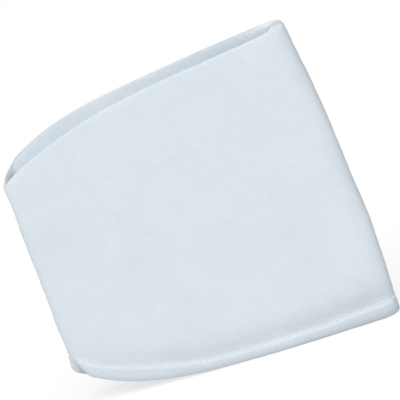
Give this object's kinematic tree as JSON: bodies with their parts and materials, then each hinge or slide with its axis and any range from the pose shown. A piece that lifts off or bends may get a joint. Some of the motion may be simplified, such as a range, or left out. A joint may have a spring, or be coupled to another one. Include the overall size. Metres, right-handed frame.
{
  "type": "sweat wristband",
  "caption": "Plush double-walled sweat wristband: a flattened cloth tube with one turned rim and one topstitched hem, standing on the hem.",
  "frame": {"origin": "on the floor under the middle of the band, as it stands on its topstitched hem", "axes": "+Z along the wrist passage, from the topstitched hem to the plain rim; +X from the seamed fold to the plain fold; -Y out of the front face"},
  "size_m": [0.0848, 0.0132, 0.0722],
  "materials": {
    "plush_cloth": "short soft plush nap, cool white",
    "lining_cloth": "fine terry loops, white",
    "core_wadding": "soft undyed wadding",
    "elastic_tape": "matte knitted elastic tape",
    "sewing_thread": "satin twisted thread, white"
  },
  "bodies": {
    "root": {"outer_cover": "plush_cloth", "inner_lining": "lining_cloth", "absorbent_core": "core_wadding", "elastic_stitched_end": "elastic_tape", "elastic_plain_end": "elastic_tape", "hem_needle_thread": "sewing_thread", "hem_bobbin_thread": "sewing_thread", "plain_end_seam_thread": "sewing_thread", "cover_seam_thread": "sewing_thread", "lining_seam_thread": "sewing_thread"}
  },
  "joints": []
}
